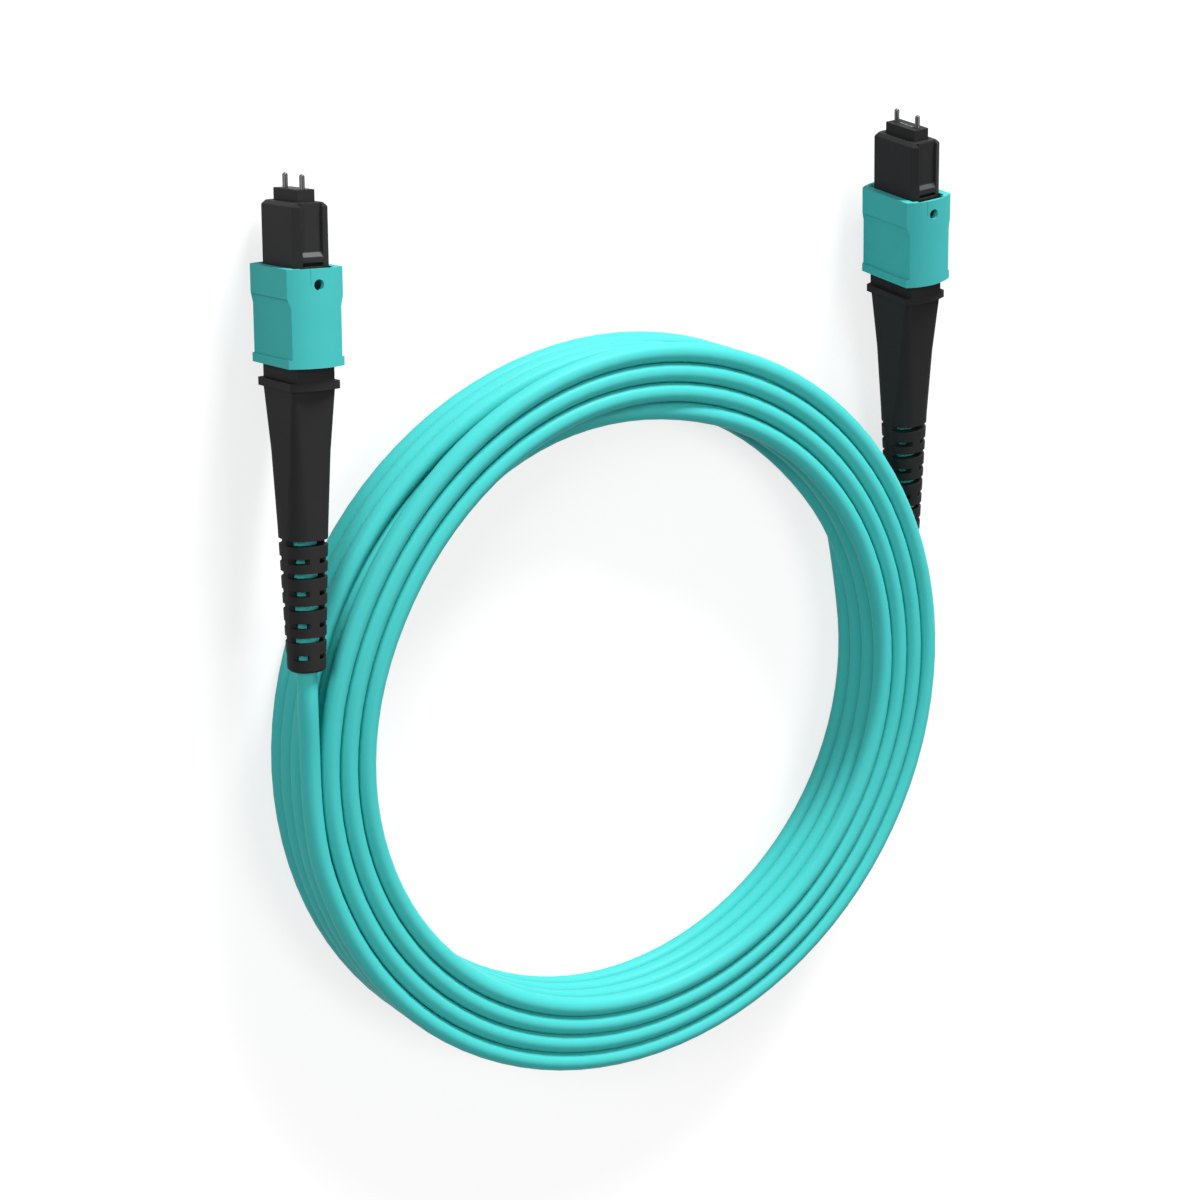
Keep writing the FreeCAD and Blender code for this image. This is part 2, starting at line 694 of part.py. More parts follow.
def make_plug(end):
    """Build one plug's sub-parts in the plug's own frame and return them."""
    first = len(parts)
    make_ferrule(end + "_ferrule")
    make_pin(end + "_guide_pin_left", "")
    make_pin(end + "_guide_pin_right", "-")
    make_keeper(end + "_pin_keeper")
    make_grommet(end + "_grommet")
    make_ribbon(end + "_fibre_ribbon")
    keeper_end = size("ferrule_length") + size("keeper_length")
    form = [size("spring_" + word) for word in ("radius", "wire", "turns", "oval")]
    make_coil_spring(end + "_ferrule_spring", keeper_end, size("push_start"), *form)
    make_housing(end + "_inner_housing")
    make_sleeve(end + "_coupling_sleeve")
    start, stop = size("side_spring_start"), size("side_spring_end")
    for side, sign in (("upper", 1), ("lower", -1)):
        make_coil_spring(
            "%s_coupling_spring_%s" % (end, side),
            start,
            stop,
            size("side_spring_radius"),
            size("side_spring_wire"),
            size("side_spring_turns"),
            offset=sign * size("side_spring_offset"),
        )
    make_crimp_body(end + "_crimp_body")
    make_crimp_ring(end + "_crimp_ring")
    make_boot(end + "_strain_boot")
    make_cable_tail(end + "_cable_tail")
    return parts[first:]


# ---------------------------------------------------------------- coil and leads


def make_coil(name):
    """Closed ring of the coil's outer shape, notched where its two end turns leave."""
    outer = document.addObject("Part::Cylinder", "coil_outside")
    outer.setExpression("Radius", bound("coil_radius + cable_diameter / 2"))
    outer.setExpression("Height", bound("(layers - 1) * layer_pitch + cable_diameter"))
    inner = document.addObject("Part::Cylinder", "coil_inside")
    inner.setExpression("Radius", bound("coil_radius - (turns_across - 1) * turn_pitch - cable_diameter / 2"))
    inner.setExpression("Height", bound("layers * layer_pitch + cable_diameter"))
    ring = document.addObject("Part::Cut", "coil_ring")
    ring.Base = outer
    ring.Tool = inner
    top = "(layers - 1) * layer_pitch + cable_diameter"
    for label, angle, start, level in (
        ("top", "top_notch_angle", "180 - top_notch_angle", top + " - notch_depth"),
        ("base", "base_notch_angle", "0", "-1"),
    ):
        wedge = document.addObject("Part::Cylinder", "coil_wedge_" + label)
        wedge.setExpression("Radius", bound("coil_radius + cable_diameter"))
        wedge.setExpression("Height", bound("notch_depth + 1"))
        wedge.setExpression("Angle", bound(angle))
        core = document.addObject("Part::Cylinder", "coil_core_" + label)
        core.setExpression("Radius", bound("coil_radius - cable_diameter / 2 - notch_clear"))
        core.setExpression("Height", bound("notch_depth + 2"))
        notch = document.addObject("Part::Cut", "coil_notch_" + label)
        notch.Base = wedge
        notch.Tool = core
        turned = FreeCAD.Rotation(FreeCAD.Vector(0, 0, 1), worth(start))
        notch.Placement = FreeCAD.Placement(FreeCAD.Vector(0, 0, worth(level)), turned)
        less = document.addObject("Part::Cut", name if label == "base" else "coil_less_top")
        less.Base = ring
        less.Tool = notch
        ring = less
    ring.Label = name
    document.recompute()
    parts.append(ring)
    return ring


def make_lead(name, route, radius):
    """Tube along straight runs joined by tangent arcs, as large as the runs allow."""
    edges = []
    at = route[0]
    for index in range(1, len(route) - 1):
        before, corner, after = route[index - 1], route[index], route[index + 1]
        into = (corner - before).normalize()
        out = (after - corner).normalize()
        half_turn = into.getAngle(out) / 2
        run = min((corner - before).Length, (after - corner).Length)
        reach = 0.45 * run
        arc_radius = reach / math.tan(half_turn)
        start, end = corner - into * reach, corner + out * reach
        bisector = (out - into).normalize()
        middle = corner + bisector * (arc_radius / math.cos(half_turn) - arc_radius)
        edges += [Part.LineSegment(at, start).toShape(), Part.Arc(start, middle, end).toShape()]
        print(name, "bend radius", round(arc_radius, 1), "turn", round(math.degrees(2 * half_turn), 1))
        at = end
    edges.append(Part.LineSegment(at, route[-1]).toShape())
    path = Part.Wire(edges)
    heading = (route[1] - route[0]).normalize()
    section = Part.Wire(Part.makeCircle(radius, route[0], heading))
    solid = path.makePipeShell([section], True, False)
    length = path.Length
    share = solid.Volume / (math.pi * radius * radius * length)
    print(name, "length", round(length, 2), "volume over section times length", round(share, 4))
    assert abs(share - 1) < 0.01, "lead volume"
    feature = document.addObject("Part::Feature", name)
    feature.Label = name
    feature.Shape = solid
    parts.append(feature)
    return feature


def plug_placement(end):
    """Where a plug lies in the coil's frame."""
    x, y, z, yaw, tilt = PLUGS[end]
    return FreeCAD.Placement(FreeCAD.Vector(x, y, z), FreeCAD.Rotation(yaw, 0, tilt))


groups = {end: make_plug(end) for end in PLUGS}
coil_group = [make_coil("coil")]
for end, side, level in (
    ("a", -1, size("cable_diameter") / 2 + (size("layers") - 1) * size("layer_pitch")),
    ("b", 1, size("cable_diameter") / 2),
):
    tail = plug_placement(end).multVec(FreeCAD.Vector(0, -size("boot_end"), 0))
    leaving = plug_placement(end).multVec(FreeCAD.Vector(0, -size("boot_end") - size("lead_straight"), 0))
    landing = FreeCAD.Vector(side * size("coil_radius"), size("lead_landing"), level)
    finish = FreeCAD.Vector(side * size("coil_radius"), 0, level)
    route = [tail, leaving, landing, finish]
    coil_group.append(make_lead(end + "_lead", route, size("cable_diameter") / 2))

# The part's frame: plug a points along +Y, and its bounding box stands centred on the origin.
straighten = FreeCAD.Placement(FreeCAD.Vector(), FreeCAD.Rotation(-PLUGS["a"][3], 0, 0))
box = None
for item in groups["a"]:
    shape = item.Shape.copy()
    shape.Placement = straighten * plug_placement("a") * shape.Placement
    limits = shape.optimalBoundingBox(False)
    box = limits if box is None else box.united(limits)
shift = FreeCAD.Vector(-box.Center.x, -box.Center.y, -box.ZMin)
frame = FreeCAD.Placement(shift, FreeCAD.Rotation()) * straighten
print("coil centre in the part's frame", [round(c, 4) for c in frame.Base], "turned", -PLUGS["a"][3])
for end, items in groups.items():
    place = frame * plug_placement(end)
    turned = place.Rotation.getYawPitchRoll()
    print("plug", end, [round(c, 4) for c in place.Base], [round(c, 4) for c in turned])
    for item in items:
        item.Placement = place * item.Placement
for item in coil_group:
    item.Placement = frame * item.Placement
document.recompute()

for item in document.Objects:
    faults = {"Invalid", "Error"}.intersection(item.State)
    assert not faults, "%s is %s" % (item.Name, faults)
for feature in cuts:
    assert feature.Shape.Volume < feature.BaseFeature.Shape.Volume - 1e-3, feature.Name + " cuts nothing"
os.makedirs("parts", exist_ok=True)
for item in parts:
    shape = item.Shape
    assert not shape.isNull() and shape.isValid(), item.Label
    assert len(shape.Solids) == 1, "%s has %d solids" % (item.Label, len(shape.Solids))
    shape.exportStep("parts/%s.step" % item.Label)
print("wrote", len(parts), "parts")
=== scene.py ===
"""Looks of a multi-fibre patch cord: two push-on plugs, the coiled cable between them and its studio.

A plug is described in a frame of its own: Y = 0 is the ferrule's end face, the guide pins point
along +Y, the wide faces look along X and the narrow faces along Z. "Station" is the distance
behind the end face. Sizes are written in millimetres and turned into metres where a mesh is made.
"""
import logging
import math
from collections.abc import Callable
from dataclasses import dataclass
from enum import Enum

import bmesh
import bpy
from mathutils import Matrix, Vector


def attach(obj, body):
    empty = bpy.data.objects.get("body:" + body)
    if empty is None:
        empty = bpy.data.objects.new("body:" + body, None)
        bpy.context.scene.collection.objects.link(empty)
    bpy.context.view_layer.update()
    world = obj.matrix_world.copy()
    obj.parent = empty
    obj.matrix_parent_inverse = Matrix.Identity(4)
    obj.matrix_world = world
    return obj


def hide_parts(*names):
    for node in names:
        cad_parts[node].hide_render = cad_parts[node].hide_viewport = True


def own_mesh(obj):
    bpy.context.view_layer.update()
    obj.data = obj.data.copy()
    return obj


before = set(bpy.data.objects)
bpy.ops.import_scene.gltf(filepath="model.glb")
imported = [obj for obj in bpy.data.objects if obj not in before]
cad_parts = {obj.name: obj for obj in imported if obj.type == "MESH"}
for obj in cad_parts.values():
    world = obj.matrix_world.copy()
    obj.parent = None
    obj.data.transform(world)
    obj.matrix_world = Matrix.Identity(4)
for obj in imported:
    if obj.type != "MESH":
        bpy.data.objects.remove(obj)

MM = 0.001
# Corners of a CAD mesh that are nearer to each other than this, in metres, are one corner.
MERGE_GAP = 0.000002
# Triangles of a CAD mesh that differ by less than this, in degrees, are one flat face.
FLAT_ANGLE = 0.6
# Edges of a turned piece that are sharper than this, in degrees, stay crisp.
TURNED_CREASE = 50.0
# Sockets of a mix node that is set to colours.
MIX_FACTOR, MIX_FIRST, MIX_SECOND, MIX_RESULT = 0, 6, 7, 2

log = logging.getLogger("patch_cord")

Colour = tuple[float, float, float]
Point = tuple[float, float, float]
Span = tuple[float, float]


class End(Enum):
    """The two ends of the patch cord, by the first letter of their nodes' names."""

    NEAR = "a"
    FAR = "b"


@dataclass(frozen=True)
class PlugPose:
    """Where a plug lies: its end face's centre in millimetres, its yaw and its nose's tilt in degrees."""

    face: Point
    yaw: float
    tilt: float

    def matrix(self) -> Matrix:
        """Place the plug.

        Returns:
            The matrix from the plug's own frame, in metres, to the row frame.
        """
        place = Matrix.Translation(Vector(self.face) * MM)
        yaw = Matrix.Rotation(math.radians(self.yaw), 4, "Z")
        tilt = Matrix.Rotation(math.radians(self.tilt), 4, "X")
        return place @ yaw @ tilt

    def at(self, x: float, station: float, z: float) -> Vector:
        """Return a point of the plug, given in millimetres, in the row frame in metres.

        Args:
            x: Offset towards the keyed wide face.
            station: Distance behind the end face.
            z: Offset along the wide faces.

        Returns:
            The point in metres.
        """
        return self.matrix() @ (Vector((x, -station, z)) * MM)


POSES: dict[End, PlugPose] = {
    End.NEAR: PlugPose((0.0, 29.8419, 5.5509), 0.0, -4.11),
    End.FAR: PlugPose((94.7525, 34.7843, 8.3109), 7.92, 5.40),
}


# ---------------------------------------------------------------- shader groups


def new_group(name: str, inputs: dict[str, float], outputs: list[str]) -> bpy.types.ShaderNodeTree:
    """Start a shader node group.

    Args:
        name: The group's name.
        inputs: Float inputs and their default values.
        outputs: Names of the float outputs.

    Returns:
        The tree, with its input and output nodes in place.
    """
    tree = bpy.data.node_groups.new(name, "ShaderNodeTree")
    for label, value in inputs.items():
        socket = tree.interface.new_socket(label, in_out="INPUT", socket_type="NodeSocketFloat")
        socket.default_value = value
    for label in outputs:
        tree.interface.new_socket(label, in_out="OUTPUT", socket_type="NodeSocketFloat")
    tree.nodes.new("NodeGroupInput")
    tree.nodes.new("NodeGroupOutput")
    return tree


class Wiring:
    """A node tree with short calls that add and join nodes."""

    def __init__(self, tree: bpy.types.NodeTree) -> None:
        """Keep the tree."""
        self.tree = tree

    def add(self, kind: str, **settings: object) -> bpy.types.Node:
        """Add a node.

        Args:
            kind: The node's type.
            settings: Properties to set on it.

        Returns:
            The new node.
        """
        node = self.tree.nodes.new(kind)
        for key, value in settings.items():
            setattr(node, key, value)
        return node

    def join(self, source: bpy.types.NodeSocket, target: bpy.types.NodeSocket) -> None:
        """Link an output to an input."""
        self.tree.links.new(source, target)

    def noise(
        self, place: bpy.types.NodeSocket, scale: bpy.types.NodeSocket, detail: float
    ) -> bpy.types.NodeSocket:
        """Add noise over a position.

        Args:
            place: The position.
            scale: The noise's scale.
            detail: How many finer layers it has.

        Returns:
            The noise's value.
        """
        node = self.add("ShaderNodeTexNoise")
        node.inputs["Detail"].default_value = detail
        self.join(place, node.inputs["Vector"])
        self.join(scale, node.inputs["Scale"])
        return node.outputs["Fac"]

    def math(self, operation: str, first: object, second: object) -> bpy.types.NodeSocket:
        """Add a sum, product or the like.

        Args:
            operation: What the node does.
            first: A socket or a number.
            second: A socket or a number.

        Returns:
            The result.
        """
        node = self.add("ShaderNodeMath", operation=operation)
        for slot, value in enumerate((first, second)):
            if isinstance(value, (int, float)):
                node.inputs[slot].default_value = value
            else:
                self.join(value, node.inputs[slot])
        return node.outputs[0]

    def span(self, value: bpy.types.NodeSocket, low: float, high: float) -> bpy.types.NodeSocket:
        """Map a value from 0 to 1 onto a range.

        Args:
            value: The value.
            low: What 0 becomes.
            high: What 1 becomes.

        Returns:
            The mapped value.
        """
        node = self.add("ShaderNodeMapRange")
        node.inputs["To Min"].default_value = low
        node.inputs["To Max"].default_value = high
        self.join(value, node.inputs["Value"])
        return node.outputs["Result"]


def moulded_skin() -> bpy.types.ShaderNodeTree:
    """Build the fine spark-eroded texture of moulded plastic, once.

    Returns:
        A group whose Height feeds a bump and whose Mottle shifts colour and roughness.
    """
    found = bpy.data.node_groups.get("moulded_skin")
    if found:
        return found
    tree = new_group("moulded_skin", {"Grain": 9000.0, "Cloud": 260.0}, ["Height", "Mottle"])
    wires = Wiring(tree)
    source, sink = tree.nodes["Group Input"], tree.nodes["Group Output"]
    place = wires.add("ShaderNodeTexCoord").outputs["Object"]
    fine = wires.noise(place, source.outputs["Grain"], 3.0)
    cloud = wires.noise(place, source.outputs["Cloud"], 5.0)
    wires.join(fine, sink.inputs["Height"])
    wires.join(wires.math("MULTIPLY", wires.math("ADD", fine, cloud), 0.5), sink.inputs["Mottle"])
    return tree


# ---------------------------------------------------------------- finishes


@dataclass(frozen=True)
class Finish:
    """A surface finish: two close colours that a fine mottle mixes, a roughness band and a bump."""

    name: str
    colour: Colour
    shade: Colour
    roughness: Span
    metallic: float = 0.0
    grain: float = 9000.0
    cloud: float = 260.0
    depth: float = 0.00001
    strength: float = 0.25
    coat: float = 0.0
    coat_roughness: float = 0.18
    specular: float = 0.5

    def material(self) -> bpy.types.Material:
        """Build the finish's material on first use.

        Its label differs from the finish's name, because the CAD nodes came with plain materials
        that are named after the record's slots.

        Returns:
            The material.
        """
        label = self.name + "_finish"
        found = bpy.data.materials.get(label)
        if found:
            return found
        material = bpy.data.materials.new(label)
        material.use_nodes = True
        wires = Wiring(material.node_tree)
        shader = material.node_tree.nodes["Principled BSDF"]
        shader.inputs["Metallic"].default_value = self.metallic
        shader.inputs["Coat Weight"].default_value = self.coat
        shader.inputs["Coat Roughness"].default_value = self.coat_roughness
        shader.inputs["Specular IOR Level"].default_value = self.specular
        skin = wires.add("ShaderNodeGroup", node_tree=moulded_skin())
        skin.inputs["Grain"].default_value = self.grain
        skin.inputs["Cloud"].default_value = self.cloud
        mix = wires.add("ShaderNodeMix", data_type="RGBA")
        mix.inputs[MIX_FIRST].default_value = (*self.colour, 1.0)
        mix.inputs[MIX_SECOND].default_value = (*self.shade, 1.0)
        wires.join(skin.outputs["Mottle"], mix.inputs[MIX_FACTOR])
        wires.join(mix.outputs[MIX_RESULT], shader.inputs["Base Color"])
        wires.join(wires.span(skin.outputs["Mottle"], *self.roughness), shader.inputs["Roughness"])
        bump = wires.add("ShaderNodeBump")
        bump.inputs["Strength"].default_value = self.strength
        bump.inputs["Distance"].default_value = self.depth
        wires.join(skin.outputs["Height"], bump.inputs["Height"])
        wires.join(bump.outputs["Normal"], shader.inputs["Normal"])
        return material


HOUSING_BLACK = Finish(
    "housing_black", (0.026, 0.026, 0.027), (0.033, 0.033, 0.034), (0.4, 0.55), depth=0.00002, specular=0.03
)
FERRULE_RESIN = Finish(
    "ferrule_resin", (0.022, 0.022, 0.023), (0.032, 0.032, 0.033), (0.4, 0.55), grain=14000.0, specular=0.03
)
BOOT_BLACK = Finish(
    "boot_black", (0.024, 0.024, 0.024), (0.031, 0.031, 0.031), (0.5, 0.65), depth=0.00003, specular=0.04
)
# Painted highlight: the catches' ramps face the key light and are painted lighter and glossier than the
# housing.
RAMP_HIGHLIGHT = Finish("ramp_painted_highlight", (0.07, 0.07, 0.072), (0.09, 0.09, 0.092), (0.35, 0.45), specular=0.2)
# Painted highlight: grey on the black boot's slot rear walls, where the key light falls.
LIP_HIGHLIGHT = Finish("boot_lip_painted_highlight", (0.3, 0.28, 0.27), (0.36, 0.34, 0.33), (0.5, 0.65), specular=0.1)
SLEEVE_AQUA = Finish("sleeve_aqua", (0.058, 0.47, 0.465), (0.072, 0.52, 0.51), (0.5, 0.62), specular=0.05)
# Painted shade: the parting lines are darker aqua strips that stand in for the shade inside a fine slit.
SEAM_SHADE = Finish("sleeve_seam_shade", (0.03, 0.3, 0.3), (0.04, 0.34, 0.34), (0.5, 0.62), specular=0.05)
JACKET_AQUA = Finish(
    "jacket_aqua", (0.058, 0.54, 0.52), (0.072, 0.58, 0.56), (0.4, 0.5),
    grain=5200.0, cloud=120.0, specular=0.12,
)
PIN_STEEL = Finish(
    "pin_steel", (0.15, 0.15, 0.155), (0.12, 0.12, 0.125), (0.38, 0.46), metallic=1.0, strength=0.05
)
KEEPER_STEEL = Finish("keeper_steel", (0.5, 0.5, 0.52), (0.42, 0.42, 0.44), (0.28, 0.42), metallic=1.0)
SPRING_STEEL = Finish("spring_steel", (0.56, 0.55, 0.54), (0.46, 0.45, 0.44), (0.22, 0.35), metallic=1.0)
CRIMP_METAL = Finish("crimp_metal", (0.62, 0.6, 0.56), (0.52, 0.5, 0.47), (0.3, 0.44), metallic=1.0)
GROMMET_RUBBER = Finish("grommet_rubber", (0.02, 0.02, 0.02), (0.03, 0.03, 0.03), (0.6, 0.75))
FIBRE_RIBBON = Finish("fibre_ribbon", (0.07, 0.5, 0.5), (0.09, 0.56, 0.56), (0.25, 0.35), grain=2600.0)
FIBRE_GLASS = Finish(
    "fibre_glass", (0.78, 0.86, 0.9), (0.7, 0.8, 0.86), (0.06, 0.12), strength=0.02, coat=0.6
)


# ---------------------------------------------------------------- helpers


def add_object(name: str, data: bpy.types.ID) -> bpy.types.Object:
    """Link a new object into the scene.

    Args:
        name: The object's name.
        data: What it holds.

    Returns:
        The new object.
    """
    item = bpy.data.objects.new(name, data)
    bpy.context.scene.collection.objects.link(item)
    return item


def dress_node(node: str, finish: Finish) -> None:
    """Give a CAD node that stays in view its finish.

    Args:
        node: The CAD node's name.
        finish: The finish.
    """
    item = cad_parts[node]
    item.data.materials.clear()
    item.data.materials.append(finish.material())


def modelled(
    name: str, end: End, body: str, spots: list[Point], faces: list[list[int]], finish: Finish
) -> bpy.types.Object:
    """Make a piece from corners given in a plug's own frame.

    Args:
        name: The piece's name.
        end: The plug that it belongs to.
        body: The body it rides on.
        spots: The corners as x, station and z in millimetres.
        faces: Indices of each face's corners.
        finish: The finish of the piece.

    Returns:
        The new piece.
    """
    mesh = bpy.data.meshes.new(name)
    mesh.from_pydata([POSES[end].at(*spot) for spot in spots], [], faces)
    mesh.materials.append(finish.material())
    edit = bmesh.new()
    edit.from_mesh(mesh)
    bmesh.ops.recalc_face_normals(edit, faces=edit.faces)
    edit.to_mesh(mesh)
    edit.free()
    piece = add_object(name, mesh)
    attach(piece, body)
    return piece


def turned(
    name: str, end: End, body: str, z: float, profile: list[Span], finish: Finish, sides: int = 32
) -> bpy.types.Object:
    """Make a round piece whose axis runs along a plug's.

    Args:
        name: The piece's name.
        end: The plug that it belongs to.
        body: The body it rides on.
        z: How far its own axis is from the plug's, in millimetres.
        profile: (station, radius) pairs from one end to the other.
        finish: The finish of the piece.
        sides: How many sides it has.

    Returns:
        The new piece.
    """
    spots, faces = [], []
    for station, radius in profile:
        for side in range(sides):
            turn = math.tau * side / sides
            spots.append((radius * math.cos(turn), station, z + radius * math.sin(turn)))
    for ring in range(len(profile) - 1):
        low = ring * sides
        for side in range(sides):
            after = (side + 1) % sides
            faces.append([low + side, low + after, low + sides + after, low + sides + side])
    faces += [list(range(sides)), list(range(len(spots) - sides, len(spots)))]
    piece = modelled(name, end, body, spots, faces, finish)
    piece.data.shade_smooth()
    piece.data.set_sharp_from_angle(angle=math.radians(TURNED_CREASE))
    return piece


def softened(
    node: str, body: str, finish: Finish, width: float, limit: float = 32.0, shortest: float = 0.0
) -> bpy.types.Object:
    """Stand a moulded copy in for a CAD node, its facets joined and its edges rounded.

    Args:
        node: The CAD node's name.
        body: The body the piece rides on.
        finish: The finish of the piece.
        width: The edge radius in millimetres, or nought for crisp edges.
        limit: The least angle, in degrees, of an edge that is rounded.
        shortest: The least length, in millimetres, of an edge that is rounded; nought also lets short
            edges narrow the rounding.

    Returns:
        The new piece.
    """
    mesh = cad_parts[node].data.copy()
    edit = bmesh.new()
    edit.from_mesh(mesh)
    bmesh.ops.remove_doubles(edit, verts=edit.verts, dist=MERGE_GAP)
    bmesh.ops.dissolve_limit(
        edit, angle_limit=math.radians(FLAT_ANGLE), verts=edit.verts, edges=edit.edges,
        use_dissolve_boundaries=False,
    )
    bmesh.ops.connect_verts_concave(edit, faces=edit.faces[:])
    for face in edit.faces:
        face.smooth = True
    weight = edit.edges.layers.float.new("bevel_weight_edge")
    for edge in edit.edges:
        sharp = edge.calc_face_angle(0.0) > math.radians(limit)
        edge[weight] = float(sharp and edge.calc_length() > shortest * MM)
    edit.to_mesh(mesh)
    edit.free()
    mesh.set_sharp_from_angle(angle=math.radians(limit))
    mesh.materials.clear()
    mesh.materials.append(finish.material())
    piece = add_object(node + "_piece", mesh)
    if width:
        bevel = piece.modifiers.new("rounded_edges", "BEVEL")
        bevel.width = width * MM
        bevel.segments = 3
        bevel.limit_method = "WEIGHT"
        bevel.use_clamp_overlap = shortest == 0.0
        bevel.miter_outer = "MITER_ARC"
        weigh = piece.modifiers.new("flat_faces", "WEIGHTED_NORMAL")
        weigh.weight = 90
    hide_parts(node)
    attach(piece, body)
    return piece


def repaint(
    piece: bpy.types.Object, end: End, finish: Finish, chosen: Callable[[float, float], bool]
) -> None:
    """Give some of a piece's faces a second finish.

    Args:
        piece: The piece, with its first finish in place.
        end: The plug that it belongs to.
        finish: The second finish.
        chosen: Tells whether a face takes it, from the face's station in millimetres and from how
            squarely it looks forward, between -1 and 1.
    """
    piece.data.materials.append(finish.material())
    to_plug = POSES[end].matrix().inverted()
    for face in piece.data.polygons:
        station = -(to_plug @ face.center).y / MM
        if chosen(station, (to_plug.to_3x3() @ face.normal).y):
            face.material_index = 1


# ---------------------------------------------------------------- plugs


@dataclass
class CouplingSleeve:
    """Pull-back sleeve that unlatches the plug, with the wedges in its panels and its parting lines.

    The wedges start a little inside the band and sink a little into the panels. The parting lines
    sink into the narrow faces and stand hardly proud of them; their darker aqua is painted shade
    of the fine slits they stand for.
    """

    end: End
    start: float = 9.53
    thick: float = 7.8
    corner: float = 10.1
    width: float = 12.5
    panel: float = 6.96
    band_end: float = 13.25
    facet_play: float = 0.045
    wedge_inner: float = 4.3
    wedge_end: float = 14.5
    wedge_root: float = 0.1
    wedge_sink: float = 0.01
    seam_offset: float = 1.1
    seam_inset: float = 0.02
    seam_end: float = 11.5
    seam_width: float = 0.05
    seam_sink: float = 0.1
    seam_proud: float = 0.012

    def arc(self) -> Span:
        """Work out the arc of the narrow faces.

        Returns:
            Its radius and how far its centre is from the plug's axis.
        """
        half, sag = self.thick / 2, (self.width - self.corner) / 2
        radius = (half * half + sag * sag) / (2 * sag)
        return radius, self.width / 2 - radius

    def level(self, x: float) -> float:
        """Return how far a narrow face is from the plug's axis at an offset across it."""
        radius, middle = self.arc()
        return middle + math.sqrt(radius * radius - x * x)

    def build(self) -> list[bpy.types.Object]:
        """Make the sleeve's pieces.

        Returns:
            The shell, its wedges and its parting lines.
        """
        key = self.end.value
        shell = softened(key + "_coupling_sleeve", key + "_sleeve_unit", SLEEVE_AQUA, 0.0)
        self.bulge(shell.data)
        return [shell, self.wedges(), self.seams()]

    def bulge(self, mesh: bpy.types.Mesh) -> None:
        """Shade the narrow faces as the true arcs that their facets stand for.

        Args:
            mesh: The shell's mesh, in the row frame.
        """
        radius, middle = self.arc()
        to_row = POSES[self.end].matrix()
        to_plug = to_row.inverted()
        normals = [corner.vector.copy() for corner in mesh.corner_normals]
        for face in mesh.polygons:
            arms = []
            for index in face.vertices:
                spot = to_plug @ mesh.vertices[index].co / MM
                arms.append(Vector((spot.x, 0.0, spot.z - math.copysign(middle, spot.z))))
            if max(abs(arm.length - radius) for arm in arms) < self.facet_play:
                for loop, arm in zip(face.loop_indices, arms):
                    normals[loop] = to_row.to_3x3() @ arm.normalized()
        mesh.normals_split_custom_set(normals)

    def wedges(self) -> bpy.types.Object:
        """Fill the panels' front corners with slanting wedges.

        Returns:
            The piece that holds all four.
        """
        low, high = self.panel / 2 - self.wedge_sink, self.thick / 2
        front, brim = self.band_end - self.wedge_root, self.level(low)
        sides = ((0, 2, 3), (0, 3, 1), (1, 3, 2), (0, 1, 2))
        spots, faces = [], []
        for x in (1, -1):
            for z in (1, -1):
                faces += [[len(spots) + i for i in side] for side in sides]
                spots += [
                    (x * low, front, z * self.wedge_inner),
                    (x * low, front, z * brim),
                    (x * low, self.wedge_end, z * brim),
                    (x * high, front, z * self.corner / 2),
                ]
        key = self.end.value
        return modelled(key + "_sleeve_wedges", self.end, key + "_sleeve_unit", spots, faces, SLEEVE_AQUA)

    def seams(self) -> bpy.types.Object:
        """Draw the short parting line beside each vent, as a strip of painted shade.

        Returns:
            The piece that holds both.
        """
        half = self.seam_width / 2
        sides = ((0, 1, 3, 2), (4, 6, 7, 5), (1, 5, 7, 3), (0, 2, 6, 4), (0, 4, 5, 1), (2, 3, 7, 6))
        spots, faces = [], []
        for z in (1, -1):
            faces += [[len(spots) + i for i in side] for side in sides]
            for x in (-self.seam_offset - half, -self.seam_offset + half):
                for station in (self.start + self.seam_inset, self.seam_end):
                    for rise in (-self.seam_sink, self.seam_proud):
                        spots.append((x, station, z * (self.level(x) + rise)))
        key = self.end.value
        body = key + "_sleeve_unit"
        # painted shade of the slits
        return modelled(key + "_sleeve_seams", self.end, body, spots, faces, SEAM_SHADE)


@dataclass
class InnerHousing:
    """Black nose with its latch channels and key; the catches' ramps carry a painted highlight."""

    end: End
    edge: float = 0.1
    shortest_edge: float = 0.3
    ramp: Span = (7.6, 8.3)
    ramp_facing: Span = (0.4, 0.9)

    def build(self) -> bpy.types.Object:
        """Make the housing's piece, with a painted highlight on the catches' ramps.

        Returns:
            The piece.
        """
        name = self.end.value + "_inner_housing"
        piece = softened(
            name, "patch_cord", HOUSING_BLACK, self.edge, shortest=self.shortest_edge
        )
        # painted highlight on the ramps that face the light
        repaint(piece, self.end, RAMP_HIGHLIGHT, self.is_highlit_ramp)
        return piece

    def is_highlit_ramp(self, station: float, facing: float) -> bool:
        """Tell a catch's ramp, which takes the painted highlight, by its station and its slope."""
        return self.ramp[0] < station < self.ramp[1] and self.ramp_facing[0] < facing < self.ramp_facing[1]


class PinSide(Enum):
    """The two guide pins of a plug, by the last word of their nodes' names."""

    LEFT = "left"
    RIGHT = "right"


